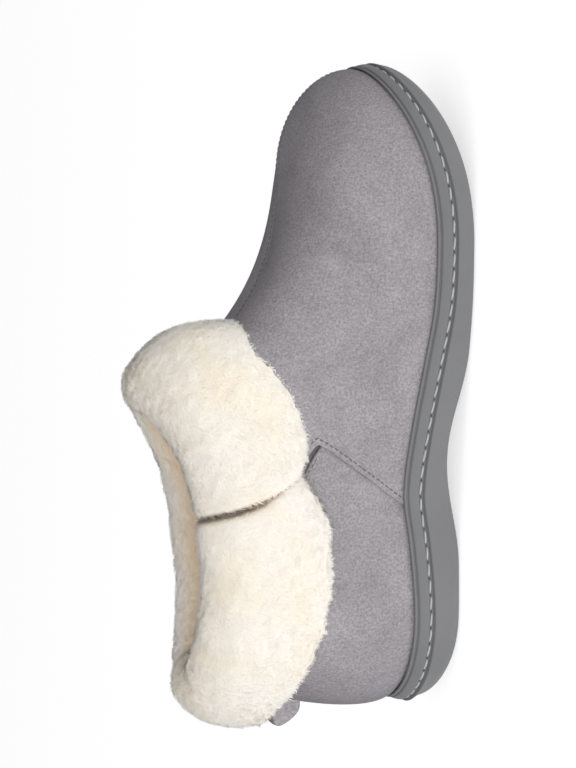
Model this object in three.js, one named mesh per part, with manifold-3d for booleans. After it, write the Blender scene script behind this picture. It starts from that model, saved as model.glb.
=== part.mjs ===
// A bootie slipper for the right foot, in millimetres, standing on its sole.
// +Z is up, +Y points to the toe and +X to the outer (lateral) side of the foot.
// While it is modelled, y = 0 is the back of the sole; the group is centred at the end.

import * as THREE from 'three';
import { mergeVertices } from 'three/addons/utils/BufferGeometryUtils.js';
import Module from 'manifold-3d';

const wasm = await Module();
wasm.setup();

// Driving dimensions of the sole
const soleLength = 277;
const ballWidth = 105;
const waistWidth = 76;
const heelWidth = 76;
const heelSide = 19.6;
const waistSide = 24.6;
const ballSide = 16.4;
const toeSide = 18;
const toeSpring = 25;
const archRise = 6.2;
const soleThickness = 9;
const heelThickness = 14;

// Driving dimensions of the last and the upper
const toeTopFromHeel = 232;
const toeHeight = 72;
const throatFromHeel = 138;
const throatHeight = 117;
const collarHeight = 94;
const collarRearFromHeel = 9;
const collarWidth = 64;
const wall = 2.4;
const vampLap = 1.2;
const vampLapAtFoot = 0.5;
const lapFade = 5;
const slitWidth = 6;
const slitAtNotch = 1;

// Driving dimensions of the cuff, the footbed and the pull loop
const cuffOutside = 18;
const cuffInside = 16;
const cuffAbove = 15;
const cuffDrop = 34;
const cuffSlit = 3.2;
const tuftHeight = 1.1;
const tuftPitch = 15;
const insoleThickness = 5;
const insoleLip = 1.2;
const insoleLipWidth = 2;
const insoleDish = 12;
const loopWidth = 14;
const loopReach = 9;
const loopStrap = 2;

// Clearance between pieces that touch, and between the fur and what it lies on
const gap = 0.3;
const furGap = 0.5;
const throatRelief = 5;

// Stitch shoulder of the sole: how far each edge lies inside the side wall and below the rim
const shoulder = [
  { inset: 0.2, below: 8.8 },
  { inset: 1.5, below: 8.0 },
  { inset: 1.4, below: 6.8 },
  { inset: 0.7, below: 6.2 },
  { inset: 1.7, below: 2.0 },
  { inset: 2.6, below: 1.7 },
  { inset: 1.9, below: 1.0 },
  { inset: 2.4, below: 0.0 },
];
const rimInset = 3.2;

// Half widths of the sole, a row for each place along it, before its ends are rounded
const planRows = [
  { along: 0.0, lateral: 0.53 * heelWidth, medial: 0.47 * heelWidth },
  { along: 0.15, lateral: 0.53 * heelWidth, medial: 0.47 * heelWidth },
  { along: 0.29, lateral: 0.515 * waistWidth, medial: 0.455 * waistWidth },
  { along: 0.4, lateral: 0.575 * waistWidth, medial: 0.425 * waistWidth },
  { along: 0.51, lateral: 0.485 * ballWidth, medial: 0.355 * ballWidth },
  { along: 0.61, lateral: 0.545 * ballWidth, medial: 0.41 * ballWidth },
  { along: 0.7, lateral: 0.56 * ballWidth, medial: 0.437 * ballWidth },
  { along: 0.8, lateral: 0.555 * ballWidth, medial: 0.44 * ballWidth },
  { along: 1.0, lateral: 0.545 * ballWidth, medial: 0.435 * ballWidth },
];
const heelRound = { reach: 0.52 * heelWidth, power: 2.0 };
const toeRound = { reach: 0.62 * ballWidth, power: 2.15 };

// Height of the sole's rim over a flat floor, before the toe spring is added
const rimRows = [
  { along: 0.0, height: 1.12 * heelSide },
  { along: 0.06, height: 1.02 * heelSide },
  { along: 0.16, height: heelSide },
  { along: 0.25, height: 1.1 * heelSide },
  { along: 0.33, height: waistSide },
  { along: 0.44, height: 0.9 * waistSide },
  { along: 0.53, height: 0.78 * waistSide },
  { along: 0.61, height: 1.03 * ballSide },
  { along: 0.72, height: ballSide },
  { along: 1.0, height: toeSide },
];
const archFrom = 0.22;
const archTo = 0.55;
const springFrom = 0.7;
const springPower = 2.0;

// How the bottom edge of the sole is rounded under, from the toe (0) to the heel (1)
const edgeRows = [
  { round: 0.0, out: 9, up: 6.5, slant: 1.5 },
  { round: 0.25, out: 4.5, up: 5, slant: 0.8 },
  { round: 0.5, out: 4, up: 5, slant: 0.6 },
  { round: 0.75, out: 3.2, up: 4.5, slant: 0.3 },
  { round: 0.88, out: 10, up: 9, slant: 2.4 },
  { round: 1.0, out: 16, up: 11, slant: 5 },
];

// Fall of the collar edge from the throat (1) to its level at the heel (0)
const collarRows = [
  { round: 0.0, fall: 1 },
  { round: 0.12, fall: 0.95 },
  { round: 0.24, fall: 0.78 },
  { round: 0.32, fall: 0.54 },
  { round: 0.4, fall: 0.28 },
  { round: 0.5, fall: 0.1 },
  { round: 0.62, fall: 0 },
  { round: 0.8, fall: 0.1 },
  { round: 1.0, fall: 0.28 },
];

// How far the upper swells beyond its feather line, from the toe (0) to the heel (1)
const swellRows = [
  { round: 0.0, swell: 1.5 },
  { round: 0.2, swell: 3 },
  { round: 0.45, swell: 4.5 },
  { round: 0.7, swell: 3.5 },
  { round: 1.0, swell: 5.8 },
];

// The seam where the vamp laps over the quarter: up the wall, and round from toe (0) to heel (1)
const seamRows = [
  { up: 0.0, round: 0.6252 },
  { up: 0.1, round: 0.6057 },
  { up: 0.2, round: 0.5868 },
  { up: 0.29, round: 0.5712 },
  { up: 0.31, round: 0.5735 },
  { up: 0.36, round: 0.5897 },
  { up: 0.46, round: 0.6184 },
  { up: 0.65, round: 0.6534 },
  { up: 1.0, round: 0.7165 },
];
const notchUp = 0.3;
const throatRound = 0.47;

// Cross-sections of the cuff round the collar edge: in front, where it lies on the vamp, and
// at the sides and the heel, where it hangs down the wall
const frontSection = [
  { out: 1.35, up: -0.62 },
  { out: 1.4, up: -0.35 },
  { out: 1.24, up: 0.0 },
  { out: 0.85, up: 0.3 },
  { out: 0.38, up: 0.52 },
  { out: -0.05, up: 0.6 },
  { out: -0.55, up: 0.56 },
  { out: -1.0, up: 0.24 },
  { out: -1.15, up: -0.15 },
  { out: -1.0, up: -0.5 },
  { out: -0.55, up: -0.68 },
  { out: 0.55, up: -0.62 },
];
const sideSection = [
  { out: 0.55, up: -1.0 },
  { out: 0.88, up: -0.9 },
  { out: 1.0, up: -0.62 },
  { out: 0.98, up: -0.3 },
  { out: 0.82, up: 0.08 },
  { out: 0.35, up: 0.38 },
  { out: -0.2, up: 0.42 },
  { out: -0.75, up: 0.26 },
  { out: -1.0, up: -0.08 },
  { out: -0.92, up: -0.5 },
  { out: -0.5, up: -0.72 },
  { out: 0.1, up: -0.9 },
];

// How far the cuff hangs and how much it bulges out, from the throat (0) to the heel (1), where
// it clears the pull loop
const hangRows = [
  { round: 0.0, drop: 1, bulge: 1.02 },
  { round: 0.12, drop: 1.18, bulge: 1.12 },
  { round: 0.22, drop: 1.3, bulge: 1.17 },
  { round: 0.3, drop: 1.24, bulge: 1.1 },
  { round: 0.38, drop: 1.04, bulge: 1 },
  { round: 0.5, drop: 1.14, bulge: 1 },
  { round: 0.75, drop: 0.97, bulge: 1 },
  { round: 0.88, drop: 0.75, bulge: 1 },
  { round: 1.0, drop: 0.7, bulge: 1 },
];

const columns = 32;
const wallSteps = [0, 0.07, 0.16, 0.27, 0.39, 0.52, 0.65, 0.77, 0.89, 1];

// A smooth curve through the rows of a table, read at any place
function readRows(rows, place, key, at) {
  const last = rows.length - 1;
  if (at <= rows[0][place]) return rows[0][key];
  if (at >= rows[last][place]) return rows[last][key];
  let i = 0;
  while (rows[i + 1][place] < at) i += 1;
  const slope = (a, b) => (rows[b][key] - rows[a][key]) / (rows[b][place] - rows[a][place]);
  const span = rows[i + 1][place] - rows[i][place];
  const t = (at - rows[i][place]) / span;
  const start = slope(Math.max(i - 1, 0), i + 1) * span;
  const end = slope(i, Math.min(i + 2, last)) * span;
  const value = rows[i][key];
  const rise = rows[i + 1][key] - value;
  return value + start * t + (3 * rise - 2 * start - end) * t * t
    + (start + end - 2 * rise) * t * t * t;
}

const mix = (a, b, t) => a + (b - a) * t;
const smooth = (from, to, at) => THREE.MathUtils.smoothstep(at, from, to);

// The sole's plan. Round runs from -1 to 1: 0 at the toe, 1 at the heel, + on the outer side.
function endRound(distance, { reach, power }) {
  if (distance >= reach) return 1;
  return (1 - (1 - distance / reach) ** power) ** (1 / power);
}

function outline(round) {
  const turned = round - 2 * Math.round(round / 2);
  const share = (1 + Math.cos(Math.PI * turned)) / 2;
  const y = soleLength * share;
  const half = readRows(planRows, 'along', turned < 0 ? 'medial' : 'lateral', share);
  const ends = endRound(y, heelRound) * endRound(soleLength - y, toeRound);
  return new THREE.Vector2(Math.sign(turned) * half * ends, y);
}

function planNormal(curve, round) {
  const step = 1e-3;
  const tangent = curve(round + step).sub(curve(round - step)).normalize();
  return new THREE.Vector2(-tangent.y, tangent.x);
}

function planPoint(round, inset) {
  return outline(round).addScaledVector(planNormal(outline, round), -inset);
}

function spring(y) {
  const share = Math.max(y / soleLength - springFrom, 0) / (1 - springFrom);
  return toeSpring * share ** springPower;
}

function bottom(y) {
  const share = THREE.MathUtils.clamp((y / soleLength - archFrom) / (archTo - archFrom), 0, 1);
  return archRise * Math.sin(Math.PI * share) ** 2 + spring(y);
}

function rim(y) {
  return readRows(rimRows, 'along', 'height', y / soleLength) + spring(y);
}

function cupFloor(y) {
  const thick = mix(heelThickness, soleThickness, smooth(0.25, 0.62, y / soleLength));
  return thick + spring(y);
}

// Closed meshes and solids
function meshOf(points, faces) {
  const geometry = new THREE.BufferGeometry();
  const flat = points.flatMap((point) => [point.x, point.y, point.z]);
  geometry.setAttribute('position', new THREE.Float32BufferAttribute(flat, 3));
  geometry.setIndex(faces.flat());
  return mergeVertices(geometry, 1e-4);
}

function trianglesOf(geometry) {
  const index = geometry.getIndex().array;
  const faces = [];
  for (let i = 0; i < index.length; i += 3) {
    const [a, b, c] = [index[i], index[i + 1], index[i + 2]];
    if (a !== b && b !== c && a !== c) faces.push([a, b, c]);
  }
  return faces;
}

function solidOf(geometry) {
  const vertProperties = geometry.getAttribute('position').array;
  const triVerts = Uint32Array.from(trianglesOf(geometry).flat());
  return new wasm.Manifold(new wasm.Mesh({ numProp: 3, vertProperties, triVerts }));
}

function geometryOf(solid) {
  const { vertProperties, triVerts } = solid.getMesh();
  const geometry = new THREE.BufferGeometry();
  geometry.setAttribute('position', new THREE.Float32BufferAttribute(vertProperties, 3));
  geometry.setIndex([...triVerts]);
  return geometry;
}

const quad = (a, b, c, d) => [[a, b, c], [a, c, d]];

// A skin over a stack of loops of equal count, each from the toe round the outer side. The first
// and last loops are closed straight across, from each outer point to the inner one beside it.
function stackSolid(loops) {
  const count = loops[0].length;
  const faces = [];
  for (let level = 0; level < loops.length - 1; level += 1) {
    for (let i = 0; i < count; i += 1) {
      const next = (i + 1) % count;
      const base = level * count;
      faces.push(...quad(base + i, base + count + i, base + count + next, base + next));
    }
  }
  const top = (loops.length - 1) * count;
  for (let i = 0; i < count / 2; i += 1) {
    const across = (count - i) % count;
    const beside = count - i - 1;
    faces.push(...quad(i, i + 1, beside, across));
    faces.push(...quad(top + i, top + across, top + beside, top + i + 1));
  }
  return solidOf(meshOf(loops.flat(), faces));
}

function loopAround(pointAt) {
  const points = [];
  for (let i = 0; i < 2 * columns; i += 1) {
    const round = i / columns;
    points.push(pointAt(round > 1 ? round - 2 : round));
  }
  return points;
}

// An open sheet given a thickness along its own normals, closed round its edges. The outside
// thickness is a function of the place.
function thicken(sheet, inside, outsideAt) {
  sheet.computeVertexNormals();
  const position = sheet.getAttribute('position');
  const normal = sheet.getAttribute('normal');
  const count = position.count;
  const points = [];
  for (const offsetAt of [outsideAt, () => -inside]) {
    for (let i = 0; i < count; i += 1) {
      const point = new THREE.Vector3().fromBufferAttribute(position, i);
      const away = new THREE.Vector3().fromBufferAttribute(normal, i);
      points.push(point.addScaledVector(away, offsetAt(point)));
    }
  }
  const faces = [];
  const edges = new Set();
  const sides = trianglesOf(sheet);
  for (const [a, b, c] of sides) {
    faces.push([a, b, c], [a + count, c + count, b + count]);
    for (const [from, to] of [[a, b], [b, c], [c, a]]) edges.add(`${from},${to}`);
  }
  for (const edge of edges) {
    const [from, to] = edge.split(',').map(Number);
    if (!edges.has(`${to},${from}`)) faces.push(...quad(to, from, from + count, to + count));
  }
  return solidOf(meshOf(points, faces));
}

// Outsole: a moulded cup with its stitch channel, rim bead, arch, toe spring and rounded heel
function outsoleLevels() {
  const roundedUnder = [0, 0.3, 0.6, 0.85, 1].map((turn) => (round) => {
    const edge = (key) => readRows(edgeRows, 'round', key, Math.abs(round));
    const angle = turn * Math.PI / 2;
    const inset = edge('out') * (1 - Math.sin(angle)) + edge('slant') * (1 - turn / 2);
    const { x, y } = planPoint(round, inset);
    return new THREE.Vector3(x, y, bottom(y) + edge('up') * (1 - Math.cos(angle)));
  });
  const sideWall = shoulder.map(({ inset, below }) => (round) => {
    const { x, y } = planPoint(round, inset);
    return new THREE.Vector3(x, y, rim(y) - below);
  });
  const rimInner = (round) => {
    const { x, y } = planPoint(round, rimInset);
    return new THREE.Vector3(x, y, rim(y));
  };
  const recess = (round) => {
    const { x, y } = planPoint(round, rimInset);
    return new THREE.Vector3(x, y, cupFloor(y));
  };
  return [...roundedUnder, ...sideWall, rimInner, recess];
}

const outsole = stackSolid(outsoleLevels().map(loopAround));

// The last: a wall from the feather line up to the ridge of the vamp or to the collar edge
function collarPlan(round) {
  const turn = Math.PI * round;
  const middle = (throatFromHeel + collarRearFromHeel) / 2;
  const reach = (throatFromHeel - collarRearFromHeel) / 2;
  const squared = (value, power) => Math.sign(value) * Math.abs(value) ** power;
  return new THREE.Vector2(
    collarWidth / 2 * squared(Math.sin(turn), 0.82),
    middle + reach * squared(Math.cos(turn), 0.92),
  );
}

function collarPoint(round) {
  const { x, y } = collarPlan(round);
  const fall = readRows(collarRows, 'round', 'fall', Math.abs(round));
  return new THREE.Vector3(x, y, mix(collarHeight, throatHeight, fall));
}

function ridgePoint(share) {
  const y = mix(toeTopFromHeel, throatFromHeel, share ** 1.35);
  const rise = ((toeTopFromHeel - y) / (toeTopFromHeel - throatFromHeel)) ** 3.1;
  return new THREE.Vector3(0, y, mix(toeHeight, throatHeight, rise));
}

function topPoint(round) {
  const from = Math.abs(round);
  if (from <= throatRound) return ridgePoint(from / throatRound);
  return collarPoint(Math.sign(round) * (from - throatRound) / (1 - throatRound));
}

const featherInset = rimInset + gap + vampLapAtFoot;

function wallPoint(round, up) {
  const foot = planPoint(round, featherInset);
  const top = topPoint(round);
  const low = rim(foot.y);
  const turn = up * Math.PI / 2;
  const arch = 1 - smooth(throatRound, throatRound + 0.26, Math.abs(round));
  const fullness = mix(1.12, 0.92, smooth(0, 0.2, Math.abs(round)));
  const inward = mix(up ** 1.7, 1 - Math.cos(turn) ** fullness, arch);
  const upward = mix(up, Math.sin(turn) ** fullness, arch);
  const swell = readRows(swellRows, 'round', 'swell', Math.abs(round));
  const lowness = mix(0.8, 0.55, smooth(0.75, 1, Math.abs(round)));
  const out = swell * Math.sin(Math.PI * up ** lowness);
  const plan = foot.clone().addScaledVector(planNormal(outline, round), out);
  return new THREE.Vector3(
    plan.x + (top.x - foot.x) * inward,
    plan.y + (top.y - foot.y) * inward,
    mix(low, top.z, upward),
  );
}

// The way past the collar edge, along the wall and square to the edge
function pastCollar(round) {
  const step = 1e-3;
  const from = Math.abs(round);
  if (from < throatRound) return new THREE.Vector3();
  const atThroat = from === throatRound;
  const before = topPoint(atThroat ? -round - Math.sign(round) * step : round - step);
  const after = topPoint(round + (atThroat ? Math.sign(round) * step : step));
  const edge = after.sub(before).normalize();
  const below = atThroat ? ridgePoint(1 - step) : wallPoint(round, 1 - step);
  const rise = topPoint(round).sub(below);
  return rise.addScaledVector(edge, -rise.dot(edge)).normalize();
}

// Columns of the upper from its edge on one side, over the throat and the toe, to the other edge
function columnsFrom(edge) {
  const behind = Math.round(columns * (edge - throatRound));
  const front = Math.round(columns * throatRound);
  const half = [];
  for (let i = 0; i < behind; i += 1) half.push(mix(edge, throatRound, i / behind));
  for (let i = 0; i < front; i += 1) half.push(mix(throatRound, 0, i / front));
  return [...half, 0, ...half.map((round) => -round).reverse()];
}

// The sheet of the upper, between the same edge on both sides, given as a function of the height
function upperSheet(edgeAt, overTop) {
  const places = columnsFrom(edgeAt(0));
  const count = places.length;
  const follow = (round, up) => {
    const behind = Math.max(Math.abs(round) - throatRound, 0) / (edgeAt(0) - throatRound);
    return round + Math.sign(round) * behind * (edgeAt(up) - edgeAt(0));
  };
  const rows = [null, ...wallSteps, 'over'];
  const points = [];
  const faces = [];
  rows.forEach((row, j) => {
    places.forEach((place, i) => {
      const up = typeof row === 'number' ? row : Number(row === 'over');
      const round = follow(place, up);
      const point = wallPoint(round, up);
      if (row === null) point.z = cupFloor(point.y) + gap;
      if (row === 'over') point.addScaledVector(pastCollar(round), overTop);
      points.push(point);
      const at = j * count + i;
      if (j > 0 && i > 0) faces.push(...quad(at - count - 1, at - count, at, at - 1));
    });
  });
  return meshOf(points, faces);
}

const seamAt = (up) => readRows(seamRows, 'up', 'round', up);

function upperForm(grow) {
  const overTop = wall / 2 + 3 * grow;
  const whole = upperSheet(() => 1, overTop);
  const vamp = upperSheet((up) => seamAt(up) + 3 * grow / soleLength, overTop);
  const lapAt = ({ y, z }) => mix(vampLapAtFoot, vampLap, smooth(0, lapFade, z - rim(y))) + grow;
  return thicken(whole, wall + grow, () => grow).add(thicken(vamp, wall / 2, lapAt));
}

// A thin curved wedge through the outer wall, from the notch of the seam up past the cuff. It
// opens fast above the notch and slowly after.
function slitWedge(widthAtNotch, widthAtTop, reachUp) {
  const line = [];
  for (let step = 0; step <= 10; step += 1) {
    const up = mix(notchUp, 1, step / 10);
    const { y, z } = wallPoint(seamAt(up), up);
    line.push({ y, z, width: mix(widthAtNotch, widthAtTop, (step / 10) ** 0.35) });
  }
  const end = line[line.length - 1];
  line.push({ y: end.y - reachUp / 4, z: end.z + reachUp, width: widthAtTop });
  const front = line.map(({ y, z, width }) => new THREE.Vector2(y + width / 2, z));
  const back = line.map(({ y, z, width }) => new THREE.Vector2(y - width / 2, z));
  const shape = new THREE.Shape([...front, ...back.reverse()]);
  const depth = ballWidth;
  const geometry = new THREE.ExtrudeGeometry(shape, { depth, bevelEnabled: false });
  geometry.deleteAttribute('normal');
  geometry.deleteAttribute('uv');
  geometry.applyMatrix4(new THREE.Matrix4().makeBasis(
    new THREE.Vector3(0, 1, 0),
    new THREE.Vector3(0, 0, 1),
    new THREE.Vector3(1, 0, 0),
  ));
  return solidOf(mergeVertices(geometry, 1e-4));
}

const upper = upperForm(0).subtract(slitWedge(slitAtNotch, slitWidth, cuffAbove));

// Insole: a footbed with a raised edge, lying in the cup inside the upper
function insoleLevels() {
  const edge = featherInset + wall + gap;
  const level = (inset, above) => (round) => {
    const { x, y } = planPoint(round, inset);
    return new THREE.Vector3(x, y, cupFloor(y) + gap + above);
  };
  return [
    level(edge, 0),
    level(edge, insoleThickness + insoleLip / 2),
    level(edge + insoleLipWidth, insoleThickness + insoleLip),
    level(edge + insoleDish, insoleThickness),
  ];
}

const insole = stackSolid(insoleLevels().map(loopAround));

// Cuff: shearling turned over the collar edge, cut through above the notch
function tuft({ x, y, z }) {
  const wave = 2 * Math.PI / tuftPitch;
  return tuftHeight * (Math.sin(wave * (x + 0.6 * z)) * Math.sin(wave * (y - 0.4 * z))
    + 0.6 * Math.sin(1.7 * wave * (z + 0.5 * x) + 1.1) * Math.sin(1.6 * wave * (y + 0.3 * x)));
}

function cuffSection(round) {
  const side = smooth(0.04, 0.36, Math.abs(round));
  const hanging = (key) => readRows(hangRows, 'round', key, Math.abs(round));
  const drop = cuffDrop * hanging('drop');
  const outside = cuffOutside * hanging('bulge');
  return frontSection.map((front, i) => {
    const hang = sideSection[i];
    const blend = (key) => mix(front[key], hang[key], side);
    const out = blend('out') > 0 ? blend('out') * outside : blend('out') * cuffInside;
    const up = blend('up') > 0 ? blend('up') * cuffAbove / 0.45 : blend('up') * drop;
    return new THREE.Vector2(out, up);
  });
}

function cuffRing() {
  const around = 52;
  const across = 20;
  const points = [];
  const faces = [];
  for (let i = 0; i < around; i += 1) {
    const round = -1 + 2 * i / around;
    const base = collarPoint(round);
    const away = planNormal(collarPlan, round);
    const section = new THREE.SplineCurve([...cuffSection(round), cuffSection(round)[0]]);
    for (let j = 0; j < across; j += 1) {
      const { x: out, y: up } = section.getPoint(j / across);
      const point = new THREE.Vector3(base.x + away.x * out, base.y + away.y * out, base.z + up);
      const lift = tuft(point) * Math.sign(out || 1);
      points.push(point.add(new THREE.Vector3(away.x * lift, away.y * lift, 0)));
      const next = ((i + 1) % around) * across;
      const beside = (j + 1) % across;
      faces.push(...quad(i * across + j, i * across + beside, next + beside, next + j));
    }
  }
  return solidOf(meshOf(points, faces));
}

// Room in the fur round the end of the vamp's ridge, where the collar edge turns sharply
function throatRoom() {
  const geometry = new THREE.SphereGeometry(throatRelief, 12, 8);
  geometry.deleteAttribute('normal');
  geometry.deleteAttribute('uv');
  geometry.translate(0, throatFromHeel - throatRelief / 2, throatHeight - wall);
  return solidOf(mergeVertices(geometry, 1e-4));
}

const cuff = cuffRing()
  .subtract(upperForm(furGap))
  .subtract(throatRoom())
  .subtract(slitWedge(cuffSlit * 1.6, cuffSlit, cuffAbove * 2));

// Pull loop: a strap of suede folded over and sewn flat on the heel, just under the cuff
function pullLoop() {
  const heelBack = (up) => wallPoint(1, up);
  const low = heelBack(0.51);
  const high = heelBack(0.66);
  const path = new THREE.CatmullRomCurve3([
    new THREE.Vector3(0, low.y + loopStrap, low.z),
    new THREE.Vector3(0, low.y - loopReach * 0.35, low.z + 0.3),
    new THREE.Vector3(0, low.y - loopReach * 0.85, mix(low.z, high.z, 0.4)),
    new THREE.Vector3(0, low.y - loopReach, mix(low.z, high.z, 0.78)),
    new THREE.Vector3(0, high.y - loopReach * 0.5, mix(low.z, high.z, 0.97)),
    new THREE.Vector3(0, high.y + loopStrap, high.z),
  ]);
  const side = path.getPoints(20).map((point, i) => {
    const tangent = path.getTangent(i / 20);
    const out = loopStrap / 2;
    return new THREE.Vector2(point.y - tangent.z * out, point.z + tangent.y * out);
  });
  const shape = new THREE.Shape(side);
  const geometry = new THREE.ExtrudeGeometry(shape, { depth: loopWidth, bevelEnabled: false });
  geometry.deleteAttribute('normal');
  geometry.deleteAttribute('uv');
  geometry.translate(0, 0, -loopWidth / 2);
  geometry.applyMatrix4(new THREE.Matrix4().makeBasis(
    new THREE.Vector3(0, 1, 0),
    new THREE.Vector3(0, 0, 1),
    new THREE.Vector3(1, 0, 0),
  ));
  return solidOf(mergeVertices(geometry, 1e-4));
}

const pullStrap = pullLoop().subtract(upperForm(gap));

// The shoe, each piece with its own material
const pieces = [
  { name: 'outsole', solid: outsole, color: 0x88878b, roughness: 0.7 },
  { name: 'insole', solid: insole, color: 0xedceb1, roughness: 0.9 },
  { name: 'upper', solid: upper, color: 0xa29da0, roughness: 0.95 },
  { name: 'cuff', solid: cuff, color: 0xfaf1e2, roughness: 1 },
  { name: 'pull_loop', solid: pullStrap, color: 0x8f8b8e, roughness: 0.95 },
];

const group = new THREE.Group();
for (const { name, solid, color, roughness } of pieces) {
  const material = new THREE.MeshStandardMaterial({ color, roughness, metalness: 0 });
  const mesh = new THREE.Mesh(geometryOf(solid), material);
  mesh.name = name;
  group.add(mesh);
}

const box = new THREE.Box3().setFromObject(group);
const centre = box.getCenter(new THREE.Vector3());
group.position.set(-centre.x, -centre.y, -box.min.z);

export default group;
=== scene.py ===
# %% [markdown]
# # A bootie slipper, right foot: looks
# The slipper is built as solids already, so the frame holds the true shape of the last, the
# sole and the cuff. This lesson rebuilds each piece finely from the same sizes and the same
# curves, adds what is too small for the solids (folded edges, stitches, nap, curls of fleece),
# and photographs it from the side.
# Everything is worked out in millimetres with +Y to the toe and y = 0 at the back of the sole,
# and is moved into the frame, in metres, when a mesh is made.

import math

import bpy
import numpy as np
from mathutils import Matrix, Vector
from mathutils.bvhtree import BVHTree


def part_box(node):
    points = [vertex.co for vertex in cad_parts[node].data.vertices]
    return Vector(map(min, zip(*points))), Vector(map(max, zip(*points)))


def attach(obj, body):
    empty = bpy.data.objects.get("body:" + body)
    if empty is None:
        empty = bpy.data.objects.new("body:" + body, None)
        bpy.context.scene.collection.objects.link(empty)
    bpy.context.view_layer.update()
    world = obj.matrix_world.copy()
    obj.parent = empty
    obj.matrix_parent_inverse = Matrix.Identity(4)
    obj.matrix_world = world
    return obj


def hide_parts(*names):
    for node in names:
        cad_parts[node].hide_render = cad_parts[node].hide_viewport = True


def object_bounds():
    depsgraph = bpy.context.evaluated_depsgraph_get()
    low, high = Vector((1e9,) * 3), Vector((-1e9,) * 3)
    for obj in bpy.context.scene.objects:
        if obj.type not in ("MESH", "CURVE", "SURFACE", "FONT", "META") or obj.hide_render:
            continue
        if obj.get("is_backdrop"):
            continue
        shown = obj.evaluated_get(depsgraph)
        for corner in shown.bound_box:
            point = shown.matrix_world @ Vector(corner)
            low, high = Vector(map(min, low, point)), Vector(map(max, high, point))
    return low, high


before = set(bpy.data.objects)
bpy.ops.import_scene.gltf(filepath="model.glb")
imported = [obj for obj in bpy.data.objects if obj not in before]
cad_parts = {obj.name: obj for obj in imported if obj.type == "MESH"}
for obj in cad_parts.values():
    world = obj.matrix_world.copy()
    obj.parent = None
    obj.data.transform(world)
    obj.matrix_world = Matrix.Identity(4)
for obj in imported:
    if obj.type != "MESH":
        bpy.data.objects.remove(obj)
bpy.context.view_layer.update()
scene = bpy.context.scene

# %% [markdown]
# ## The last and the sole in plan
# A shoemaker starts from the last: a foot-shaped block. Here it is a few tables with a row for
# each place, read through smooth curves. "Round" says where a point is round the shoe: 0 is the
# toe, 1 the heel, plus on the outer side and minus on the inner side.

# %% Sizes and tables
SOLE_LENGTH = 277
BALL_WIDTH = 105
WAIST_WIDTH = 76
HEEL_WIDTH = 76
HEEL_SIDE, WAIST_SIDE, BALL_SIDE, TOE_SIDE = 19.6, 24.6, 16.4, 18
TOE_SPRING = 25
ARCH_RISE = 6.2
SOLE_THICKNESS, HEEL_THICKNESS = 9, 14
TOE_TOP_FROM_HEEL, TOE_HEIGHT = 232, 72
THROAT_FROM_HEEL, THROAT_HEIGHT = 138, 117
COLLAR_HEIGHT, COLLAR_REAR_FROM_HEEL, COLLAR_WIDTH = 94, 9, 64
WALL = 2.4
VAMP_LAP, VAMP_LAP_AT_FOOT = 1.2, 0.5
RIM_INSET = 3.2
GAP = 0.3
NOTCH_UP = 0.3
THROAT_ROUND = 0.47

PLAN = np.array([  # along, lateral, medial
    (0.0, 0.53 * HEEL_WIDTH, 0.47 * HEEL_WIDTH),
    (0.15, 0.53 * HEEL_WIDTH, 0.47 * HEEL_WIDTH),
    (0.29, 0.515 * WAIST_WIDTH, 0.455 * WAIST_WIDTH),
    (0.4, 0.575 * WAIST_WIDTH, 0.425 * WAIST_WIDTH),
    (0.51, 0.485 * BALL_WIDTH, 0.355 * BALL_WIDTH),
    (0.61, 0.545 * BALL_WIDTH, 0.41 * BALL_WIDTH),
    (0.7, 0.56 * BALL_WIDTH, 0.437 * BALL_WIDTH),
    (0.8, 0.555 * BALL_WIDTH, 0.44 * BALL_WIDTH),
    (1.0, 0.545 * BALL_WIDTH, 0.435 * BALL_WIDTH),
])
RIM = np.array([  # along, height of the rim before the toe spring
    (0.0, 1.12 * HEEL_SIDE), (0.06, 1.02 * HEEL_SIDE), (0.16, HEEL_SIDE),
    (0.25, 1.1 * HEEL_SIDE), (0.33, WAIST_SIDE), (0.44, 0.9 * WAIST_SIDE),
    (0.53, 0.78 * WAIST_SIDE), (0.61, 1.03 * BALL_SIDE), (0.72, BALL_SIDE), (1.0, TOE_SIDE),
])
EDGE = np.array([  # round, out, up, slant of the bottom edge
    (0.0, 9, 6.5, 1.5), (0.25, 4.5, 5, 0.8), (0.5, 4, 5, 0.6),
    (0.75, 3.2, 4.5, 0.3), (0.88, 10, 9, 2.4), (1.0, 16, 11, 5),
])
FALL = np.array([  # round, fall of the collar from the throat
    (0.0, 1), (0.12, 0.95), (0.24, 0.78), (0.32, 0.54), (0.4, 0.28), (0.5, 0.1),
    (0.62, 0), (0.8, 0.1), (1.0, 0.28),
])
SWELL = np.array([(0.0, 1.5), (0.2, 3), (0.45, 4.5), (0.7, 3.5), (1.0, 5.8)])
SEAM = np.array([  # up, round
    (0.0, 0.6252), (0.1, 0.6057), (0.2, 0.5868), (0.29, 0.5712), (0.31, 0.5735),
    (0.36, 0.5897), (0.46, 0.6184), (0.65, 0.6534), (1.0, 0.7165),
])


# %% Curves of the last
def read_rows(rows, at, key=1):
    """A smooth curve through the rows of a table, read at any places."""
    place, value = rows[:, 0], rows[:, key]
    last = len(rows) - 1
    at = np.clip(np.asarray(at, float), place[0], place[-1])
    i = np.clip(np.searchsorted(place, at, side="right") - 1, 0, last - 1)
    before = np.maximum(np.arange(last + 1) - 1, 0)
    after = np.minimum(np.arange(last + 1) + 1, last)
    slope = (value[after] - value[before]) / (place[after] - place[before])
    span = place[i + 1] - place[i]
    t = (at - place[i]) / span
    start, end = slope[i] * span, slope[i + 1] * span
    rise = value[i + 1] - value[i]
    return (value[i] + start * t + (3 * rise - 2 * start - end) * t**2
            + (start + end - 2 * rise) * t**3)


def mix(a, b, t):
    return a + (b - a) * t


def smooth(low, high, at):
    t = np.clip((np.asarray(at, float) - low) / (high - low), 0, 1)
    return t * t * (3 - 2 * t)


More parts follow.
